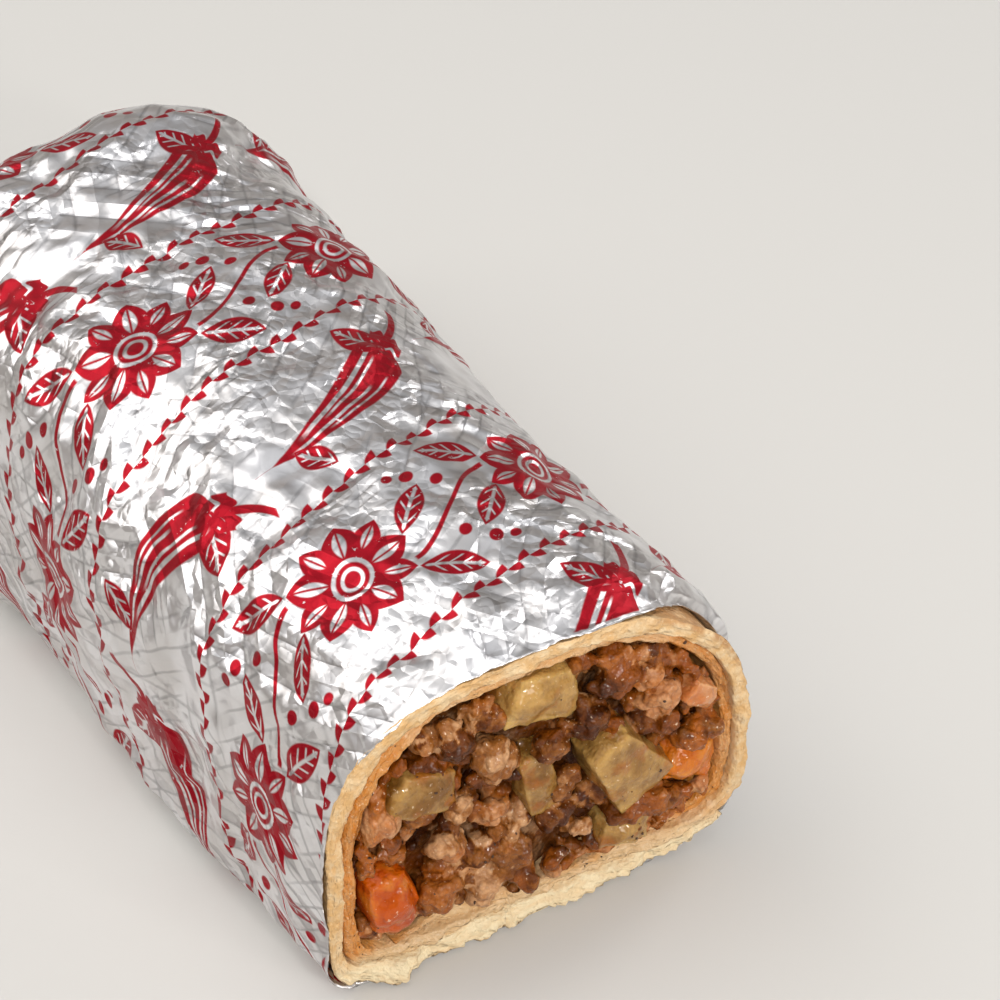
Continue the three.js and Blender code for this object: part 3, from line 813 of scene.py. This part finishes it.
def placeOf(x, z):               # where round the outline a point of the cut lies
    power = quarter(x >= 0, z >= half["belly"]) / 2
    rise = half["height"] - half["belly"] if z >= half["belly"] else half["belly"]
    c = math.copysign(abs(x / half["width"] * 2) ** power, x)
    s = math.copysign(abs((z - half["belly"]) / rise) ** power, z - half["belly"])
    angle = math.atan2(s, c) % (2 * math.pi)
    low, high = 0, 2048
    while high - low > 1:
        middle = (low + high) // 2
        if evenAngles[middle] <= angle:
            low = middle
        else:
            high = middle
    return low / 2048


def keepInRoom(point):           # draws a point of the filling back inside the roll, less so before the cut
    overhang = filling["overhang"] * easeStep(point.y, 0.7, -0.5)
    # none at the bottom and the left, where the dough shows
    overhang *= easeStep(point.z, 8, 20) * easeStep(point.x, -24, -16)
    inset = fillingInset(placeOf(point.x, point.z)) - overhang
    size = girth(point.y)
    upper = point.z >= size[2]
    power = quarter(point.x >= 0, upper)
    a = size[0] / 2 - inset
    under = inset + (half["doughyBottom"] - 1) * max(0, inset - half["foilAndGap"])
    b = size[1] - size[2] - inset if upper else size[2] - size[3] - under
    spread = (abs(point.x / a) ** power + abs((point.z - size[2]) / b) ** power) ** (1 / power)
    if spread > 1:
        point.x /= spread
        point.z = size[2] + (point.z - size[2]) / spread
    return point


def crumbPlaces():
    draw = seededChance(41)
    places = [{"x": x, "z": z, "radius": r, "long": l, "turn": t} for x, z, r, l, t in filling["large"]]
    heart = filling["heart"]
    while len(places) < len(filling["large"]) + filling["crumbs"]:
        best = None
        for attempt in range(60):
            edge = sectionPoint(draw() * 2 * math.pi, 0, 6)
            out = math.sqrt(draw()) * 0.93
            x, z = edge.x * out, heart + (edge.z - heart) * out
            if any(math.hypot(x - hx, z - hz) < radius * 1.15 for hx, hz, radius, deep in filling["hollows"]):
                continue
            room = min(math.hypot(x - other["x"], z - other["z"]) for other in places)
            if not best or room > best["room"]:
                best = {"x": x, "z": z, "room": room}
        places.append(best)
    return places


def crumbForm(crumb, seed):
    draw = seededChance(900 + seed)
    chance = [draw() for i in range(6)]
    radius = crumb.get("radius") or blend(filling["least"], filling["most"], chance[0] ** 1.6)
    behind = packingDepth(crumb["x"], crumb["z"]) - radius * (0.1 + 0.75 * chance[5])
    return {
        "radius": radius,
        "stretch": (crumb.get("long") or 1.05 + 0.5 * chance[1], 1, 0.8 + 0.3 * chance[2]),
        "turn": math.radians(crumb["turn"] if "turn" in crumb else 180 * chance[3]),
        "tip": 0 if "radius" in crumb else (chance[4] - 0.5) * 1.2,
        "depth": max(behind, 0.55 * radius - 1.4),
    }


def onChunk(x, z):               # whether a crumb here would hide a diced piece
    for chunk in chunks.values():
        across, deep, up = chunk["size"]
        turn = math.radians(chunk["turn"])
        aside, above = x - chunk["at"][0], z - chunk["at"][1]
        along = aside * math.cos(turn) + above * math.sin(turn)
        over = above * math.cos(turn) - aside * math.sin(turn)
        if (along / across) ** 2 + (over / up) ** 2 < chunk["clear"]:
            return True
    return False


def addLump(bm, at, radius, stretch, turning, seed, subdivisions=2, uneven=0.28):
    made = bmesh.ops.create_icosphere(bm, subdivisions=subdivisions, radius=1)["verts"]
    for v in made:
        lumpy = 1 + uneven * softNoise(v.co.x * 1.6 + seed * 3.1, v.co.y * 1.6, v.co.z * 1.6)
        shaped = Vector([c * s * radius * lumpy for c, s in zip(v.co, stretch)])
        v.co = inFrame(at + turning @ shaped)


def buildMince(material):
    # crumbs and their beads over a packed slab, fused by a voxel remesh, with each crumb's own tone
    bm = bmesh.new()
    holder = bpy.data.meshes.new("minceLumps")
    tones = []
    draw = seededChance(7)

    def crumb(at, radius, stretch, turning, seed, beads):
        lump = bmesh.new()
        addLump(lump, at, radius * filling["cores"], stretch, turning, seed)
        tone = draw()
        tones.append((at, tone))
        for k in range(beads):
            way = Vector([draw() - 0.5 for axis in range(3)]).normalized()
            way.y = -abs(way.y)
            small = clamp(radius * (0.27 + 0.24 * draw()), 0.4, 1.05)
            out = radius * 0.9 - small * 0.15
            spot = at + turning @ Vector([c * s for c, s in zip(way, stretch)]) * out
            addLump(lump, spot, small, (1, 1, 1), turning, seed + k * 0.37, 1, 0.2)
            tones.append((spot, clamp(tone + 0.5 * (draw() - 0.5))))
        lump.to_mesh(holder)
        lump.free()
        bm.from_mesh(holder)

    for i, spot in enumerate(crumbPlaces()):
        form = crumbForm(spot, i)
        sunk = filling["sunk"] if onChunk(spot["x"], spot["z"]) else setBack(spot["x"], spot["z"])
        at = settle(Vector((spot["x"], form["depth"] + sunk, spot["z"])))
        turning = Matrix.Rotation(form["tip"], 3, "X") @ Matrix.Rotation(form["turn"], 3, "Y")
        crumb(at, form["radius"], form["stretch"], turning, i, filling["beads"])

    for i in range(filling["smallCrumbs"]):
        edge = sectionPoint(draw() * 2 * math.pi, 0, 4.6)
        out = math.sqrt(draw())
        x, z = edge.x * out, filling["heart"] + (edge.z - filling["heart"]) * out
        radius = blend(filling["smallest"], filling["smallMost"], draw() ** 1.6)
        at = settle(Vector((x, packingDepth(x, z) + setBack(x, z) + radius * (1.2 * draw() - 0.5), z)))
        turning = Euler((draw() * 3, draw() * 3, draw() * 3)).to_matrix()
        hollow = any(math.hypot(x - hx, z - hz) < wide for hx, hz, wide, deep in filling["hollows"])
        if not onChunk(x, z) and not (hollow and draw() < 0.6):
            crumb(at, radius, filling["crumbStretch"], turning, i + 60, filling["smallBeads"])

    for i in range(filling["rimCrumbs"]):         # along the tortilla's inner face
        edge = sectionPoint(angleAt((i + draw()) / filling["rimCrumbs"]), 0, 5 + 0.8 * draw())
        at = settle(Vector((edge.x, 0.3 + 1.3 * draw() + setBack(edge.x, edge.z), edge.z)))
        turning = Euler((draw() * 3, draw() * 3, draw() * 3)).to_matrix()
        if not onChunk(edge.x, edge.z):
            radius = 0.75 + 0.6 * draw()
            crumb(at, radius, filling["crumbStretch"], turning, i + 600, filling["rimBeads"])

    slab = bmesh.ops.create_grid(bm, x_segments=70, y_segments=70, size=1)["verts"]
    rim = {}
    for v in slab:
        square = Vector((v.co.x, v.co.y))
        out = max(abs(square.x), abs(square.y))
        turn = math.atan2(square.y, square.x)
        edge = sectionPoint(turn, 0, 4.4)
        x, z = edge.x * out, filling["heart"] + (edge.z - filling["heart"]) * out
        v.co = Vector((x, packingDepth(x, z) + filling["slabBehind"] + setBack(x, z), z))
        rim[v] = out
    faces = [f for f in bm.faces if all(v in rim for v in f.verts)]
    back = bmesh.ops.extrude_face_region(bm, geom=faces)["geom"]
    for v in (part for part in back if isinstance(part, bmesh.types.BMVert)):
        v.co.y = filling["slabDepth"]
        rim[v] = 1
    for v in rim:
        v.co = inFrame(settle(keepInRoom(v.co)))
    bmesh.ops.recalc_face_normals(bm, faces=bm.faces)

    bm.to_mesh(holder)
    bm.free()
    lumps = bpy.data.objects.new("minceLumps", holder)
    bpy.context.scene.collection.objects.link(lumps)
    remesh = lumps.modifiers.new("fuse", "REMESH")
    remesh.mode = "VOXEL"
    remesh.voxel_size = filling["voxel"] * mm
    bpy.context.view_layer.update()
    fused = bpy.data.meshes.new_from_object(lumps.evaluated_get(bpy.context.evaluated_depsgraph_get()))
    bpy.data.objects.remove(lumps)

    bm = bmesh.new()
    bm.from_mesh(fused)
    tree = kdtree.KDTree(len(tones))
    for i, (at, tone) in enumerate(tones):
        tree.insert(at, i)
    tree.balance()
    toneLayer = bm.verts.layers.float.new("tone")
    paintedPitShadeLayer = bm.verts.layers.float.new("pit")
    bm.normal_update()
    for v in bm.verts:
        point = v.co / mm - half["shift"]
        near = tree.find(point)
        v[toneLayer] = tones[near[1]][1]
        flat = point.y + point.x * math.tan(half["cutYaw"])
        # depth behind the cut, which sets the painted shade in the hollows
        v[paintedPitShadeLayer] = clamp((flat - 0.3) / 3.4)
        grain = noise.noise(point * 1.3) * 0.14 + noise.noise(point * 2.9) * 0.09
        point += v.normal * grain
        point.y += point.x * math.tan(half["cutYaw"])
        point = keepInRoom(point)
        point.y -= point.x * math.tan(half["cutYaw"])
        v.co = inFrame(point)
    bmesh.ops.recalc_face_normals(bm, faces=bm.faces)
    return newPiece("minceCrumbs", bm, material, "mince", ["minced_beef"])


def buildPacking(material):
    # the hidden rest of the filling, from the crumbs to the folded end
    stations = (filling["slabDepth"] - 1, 12, 40, 70, 92, 110, 117, 121.5, 124.7, filling["rollEnd"])
    columns = 96

    def place(i, j):
        if j in (0, len(stations) + 1):
            y = stations[0] if j == 0 else stations[-1]
            return settle(Vector((0, y, filling["endHeart"])))
        y = stations[j - 1]
        spot = i / columns
        return settle(sectionPoint(angleAt(spot), y, fillingInset(spot)))

    bm = mappedGrid(columns, len(stations) + 1, place)
    return newPiece("mincePacking", bm, material, "mince")


minceTints = {
    "crumbs": [                               # from the darkest tone of a crumb to the lightest
        (0.0, tint(136, 58, 4)), (0.1, tint(58, 24, 2)), (0.34, tint(98, 50, 10)),
        (0.64, tint(146, 90, 38)), (1.0, tint(218, 170, 124)),
    ],
    # the last of these is painted shade, for the mince deep in the hollows behind the cut
    "sauce": tint(178, 92, 14), "grain": tint(100, 46, 12), "pit": tint(44, 15, 2),
    # painted highlights: light specks standing in for glints
    "paintedGlint": tint(240, 212, 178),
}


def minceMaterial():
    board = newPaint("stewedMince", Coat_Roughness=0.05, Specular_IOR_Level=0.1)
    place = board.place()
    tone = board.attribute("tone")
    pit = board.attribute("pit")
    speckle = board.cloud(place, 1.1, 3.0, 0.65)
    tone = tone * 0.75 + speckle * 0.4 - 0.06
    colour = board.node("ShaderNodeValToRGB", {"stops": minceTints["crumbs"]}, {0: tone})
    x, _, _ = board.parts(place)
    wetPatchesAndGlints = board.cloud(board.moved(place, (40, 0, 11)), 0.13, 2.0).ramp(0.47, 0.62)
    seeped = abs(x).ramp(12, 22) * board.cloud(place, 0.3, 2.0).ramp(0.4, 0.55)
    sauce = (wetPatchesAndGlints * 0.42).most(seeped * 0.6)       # more of it along the dough
    colour = board.mixed(sauce, colour, minceTints["sauce"])
    grains = board.node("ShaderNodeTexVoronoi", values={"Vector": place, "Scale": 1.15})
    colour = board.mixed(grains.ramp(0.35, 0.75) * 0.25, colour, minceTints["grain"])
    # painted shade: darker the deeper the mince lies behind the cut
    colour = board.mixed(pit * 0.85, colour, minceTints["pit"])
    paintedGlint = board.cloud(board.moved(place, (3, 8, 1)), 2.1, 2.0).ramp(0.66, 0.74) * (1 - pit)
    colour = board.mixed(paintedGlint * 0.55, colour, minceTints["paintedGlint"])    # painted highlights: light specks standing in for glints
    normal = board.bump(0.14 * board.cloud(place, 2.8, 1.0, 0.6) - 0.34 * grains, 1)
    gloss = 0.32 + 0.4 * sauce - 0.26 * pit
    return board.feed(Base_Color=colour, Roughness=0.32 + 0.2 * speckle, Coat_Weight=gloss, Normal=normal)


def buildChunk(name, material, slot, seed):
    # a diced piece: the solids' eased box, finely divided, with worn edges and small pits
    chunk = chunks[name]
    bm = bmesh.new()
    bmesh.ops.create_cube(bm, size=2)
    bmesh.ops.subdivide_edges(bm, edges=bm.edges, cuts=17, use_grid_fill=True)
    turning = Matrix.Rotation(-math.radians(chunk["turn"]), 3, "Y")
    x, z = chunk["at"]
    across, deep, up = chunk["size"]
    at = settle(Vector((x, deep / 2 - chunk["out"], z)))
    paintedEdgeLightLayer = bm.verts.layers.float.new("edge")
    shadeLayer = bm.verts.layers.float.new("shade")
    for v in bm.verts:
        # how near the box's edges a point lies, for the painted light on the thin edges
        v[paintedEdgeLightLayer] = clamp((sorted(abs(c) for c in v.co)[1] - 0.5) / 0.5)
        v[shadeLayer] = chunk["shade"]
        ball = v.co.normalized() * 1.22
        eased = ball.lerp(v.co, chunk["square"])
        uneven = 1 + 0.12 * softNoise(eased.x * 1.4 + seed * 7.3, eased.y * 1.4, eased.z * 1.4)
        narrow = blend(1, chunk["taper"], (eased.z + 1) / 2)
        eased *= uneven
        shaped = Vector((eased.x * across / 2 * narrow, eased.y * deep / 2, eased.z * up / 2))
        worn = 0.45 * noise.noise(shaped * 0.42 + Vector((seed * 5, 0, 0)))
        worn += 0.22 * noise.noise(shaped * 1.1 + Vector((seed * 9, 0, 0)))
        worn += 0.08 * noise.noise(shaped * 2.6 + Vector((seed * 4, 0, 0)))
        shaped += shaped.normalized() * worn
        point = at + turning @ shaped
        point.y += point.x * math.tan(half["cutYaw"])
        point = keepInRoom(point)
        point.y -= point.x * math.tan(half["cutYaw"])
        v.co = inFrame(point)
    bmesh.ops.recalc_face_normals(bm, faces=bm.faces)
    return newPiece(name.replace("_", "").replace("piece", "Dice"), bm, material, slot, [name])


vegetables = {                                # name, light, dark, smear, clearness
    "potato": ("boiledPotato", tint(182, 141, 78), tint(118, 78, 26), tint(150, 82, 12), 0.15),
    "carrot": ("stewedCarrot", tint(184, 78, 0), tint(154, 52, 0), tint(204, 118, 30), 0),
    "tomato": ("saucedTomato", tint(200, 112, 18), tint(174, 76, 4), tint(212, 136, 44), 0),
    "onion": ("softOnion", tint(202, 146, 102), tint(172, 108, 62), tint(184, 102, 40), 0.3),
}
paintedGlintSpeck = tint(244, 226, 196)            # painted highlights: light specks standing in for glints


def vegetableMaterial(name, light, dark, smear, clarity):
    board = newPaint(
        name, Coat_Weight=0.6, Coat_Roughness=0.05, Specular_IOR_Level=0.1,
        Subsurface_Weight=clarity, Subsurface_Scale=0.003,
    )
    board.surface.inputs["Subsurface Radius"].default_value = (1.0, 0.6, 0.25)
    place = board.place()
    mottle = board.cloud(place, 0.3, 4.0, 0.65)
    wetPatchesAndGlints = board.cloud(board.moved(place, (5, 1, 7)), 1.9, 2.0).ramp(0.67, 0.73)
    colour = board.mixed(mottle.ramp(0.33, 0.67) * 0.7 + board.attribute("shade"), light, dark)
    edge = board.attribute("edge").ramp(0.3, 1.0)
    # painted light: edges lightened, standing in for light shining through the thin glassy edges
    colour = board.mixed(edge * 0.36, colour, light, "SCREEN")
    smearing = board.cloud(board.moved(place, (9, 4, 2)), 0.22, 3.0).ramp(0.5, 0.66)
    colour = board.mixed(smearing * 0.7, colour, smear)
    # painted highlights: light specks where glints would be
    colour = board.mixed(wetPatchesAndGlints * 0.4, colour, paintedGlintSpeck)
    veins = board.cloud(board.stretched(place, (1.0, 1.0, 0.3)), 1.6, 1.0)
    normal = board.bump(0.22 * veins + 0.5 * board.cloud(place, 0.7, 2.0), 1)
    return board.feed(Base_Color=colour, Roughness=0.34 + 0.2 * mottle, Normal=normal)


pepper = {"flecks": 80, "least": 0.1, "most": 0.27, "dark": tint(38, 24, 16), "light": tint(84, 52, 30)}


def buildPepper(carriers, material):
    # flecks of ground pepper pressed into whatever shows at the cut
    trees = [BVHTree.FromObject(piece, bpy.context.evaluated_depsgraph_get()) for piece in carriers]
    draw = seededChance(88)
    bm = bmesh.new()
    for i in range(pepper["flecks"]):
        edge = sectionPoint(draw() * 2 * math.pi, 0, 2.5)
        out = math.sqrt(draw())
        x, z = edge.x * out, filling["heart"] + (edge.z - filling["heart"]) * out
        start = inFrame(Vector((x, -30, z)))
        hits = [tree.ray_cast(start, Vector((0, 1, 0)), 60 * mm) for tree in trees]
        hits = [hit for hit in hits if hit[0]]
        size = blend(pepper["least"], pepper["most"], draw() ** 2)
        spin = Euler((draw() * 6, draw() * 6, draw() * 6)).to_matrix()
        if not hits:
            continue
        spot, normal, _, _ = min(hits, key=lambda hit: hit[3])
        made = bmesh.ops.create_icosphere(bm, subdivisions=1, radius=size * mm)["verts"]
        for k, v in enumerate(made):
            jag = 1 + 0.35 * chanceValue(i, k, 3)
            v.co = spot + spin @ Vector((v.co.x * 1.3, v.co.y, v.co.z * 0.7)) * jag
    return newPiece("pepperFlecks", bm, material, "mince")


def pepperMaterial():
    board = newPaint("groundPepper", Roughness=0.6)
    speck = board.cloud(board.place(), 3.0, 2.0)
    return board.feed(Base_Color=board.mixed(speck, pepper["dark"], pepper["light"]))


# Floor, light and camera

stage = {
    "floor": tint(196, 194, 190), "floorSize": 3,
    "cameraAt": Vector((-111.1, -156.2, 257.5)), "azimuth": 33.77, "elevation": 44, "lens": 90,
    "horizon": (1, 0.86, 0.74, 1), "ceiling": (0.97, 0.98, 1, 1),
    "glow": 0.22, "overheadGlow": 0.12, "patchGlow": 0.5,    # the room's brightness
    "lights": (                               # name, place, aim and size in metres, watts, colour
        ("windowLight", (-0.45, 0.5, 0.7), (0, 0, 0.02), (1, 0.8), 4, (1, 0.98, 0.95)),
        ("ceilingStrip", (-0.12, 0.05, 0.8), (0, 0, 0.02), (0.35, 0.9), 1.7, (1, 0.99, 0.97)),
        ("frontLight", (0.16, -0.75, 0.32), (0, -0.05, 0.02), (0.3, 0.16), 1.1, (1, 0.97, 0.93)),
        ("sparkle", (-0.3, -0.45, 0.6), (0, -0.05, 0.03), (0.045, 0.045), 2, (1, 0.98, 0.96)),
        ("sideSparkle", (0.3, -0.7, 0.12), (0, -0.05, 0.03), (0.04, 0.04), 0.8, (1, 0.98, 0.96)),
        ("lowSparkle", (0, -0.6, 0.4), (0, -0.05, 0.03), (0.04, 0.04), 0.5, (1, 0.98, 0.96)),
        ("rimLight", (0.7, 0.1, 0.5), (0, 0, 0.02), (0.2, 0.5), 1.2),
    ),
}


def buildFloor():
    bm = bmesh.new()
    bmesh.ops.create_grid(bm, x_segments=1, y_segments=1, size=stage["floorSize"])
    bmesh.ops.translate(bm, verts=bm.verts, vec=(0, 0, -0.0002))
    mesh = bpy.data.meshes.new("floor")
    bm.to_mesh(mesh)
    bm.free()
    floor = bpy.data.objects.new("floor", mesh)
    bpy.context.scene.collection.objects.link(floor)
    paint = newPaint("paleFloor", Roughness=1.0, Specular_IOR_Level=0.0)
    mesh.materials.append(paint.feed(Base_Color=stage["floor"]))


def softbox(name, at, aim, size, power, colour=(1, 1, 1)):
    light = bpy.data.lights.new(name, "AREA")
    light.shape = "RECTANGLE"
    light.size, light.size_y = size
    light.energy = power
    light.color = colour
    lamp = bpy.data.objects.new(name, light)
    lamp.location = at
    lamp.rotation_euler = (Vector(aim) - Vector(at)).to_track_quat("-Z", "Y").to_euler()
    bpy.context.scene.collection.objects.link(lamp)


def buildRoom():
    # soft patches of light overhead and a warmer, darker horizon, for the foil to mirror
    world = bpy.data.worlds.new("room")
    bpy.context.scene.world = world
    world.use_nodes = True
    board = Board(world, "Background")
    way = board.node("ShaderNodeTexCoord", out="Generated")
    _, _, z = board.parts(way)
    patches = board.cloud(way, 2.4, 0.0).ramp(0.42, 0.6)
    overhead = z.ramp(-0.1, 0.75)
    colour = board.mixed(overhead, stage["horizon"], stage["ceiling"])
    above = overhead * (stage["overheadGlow"] + stage["patchGlow"] * patches)
    return board.feed(Color=colour, Strength=stage["glow"] + above)


def buildCamera():
    data = bpy.data.cameras.new("camera")
    data.lens = stage["lens"]
    data.sensor_width = 36
    camera = bpy.data.objects.new("camera", data)
    camera.location = inFrame(stage["cameraAt"])
    turn = -math.radians(stage["azimuth"])
    camera.rotation_euler = Euler((math.radians(90 - stage["elevation"]), 0, turn))
    bpy.context.scene.collection.objects.link(camera)
    bpy.context.scene.camera = camera


foilPaint = foilMaterial()
buildFoil(foilPaint)
print("foil done")
roll = buildTortilla(tortillaMaterial())
print("tortilla done")
mincePaint = minceMaterial()
crumbs = buildMince(mincePaint)
buildPacking(mincePaint)
print("mince done")
paints = {kind: vegetableMaterial(*mix) for kind, mix in vegetables.items()}
diced = []
for number, name in enumerate(chunks):
    kind = name.split("_")[0]
    diced.append(buildChunk(name, paints[kind], kind, number))
print("vegetables done")
buildPepper([crumbs, roll, *diced], pepperMaterial())
buildFloor()
for light in stage["lights"]:
    softbox(*light)
buildRoom()
bpy.context.scene.view_settings.view_transform = "Standard"
buildCamera()
print("stage done")
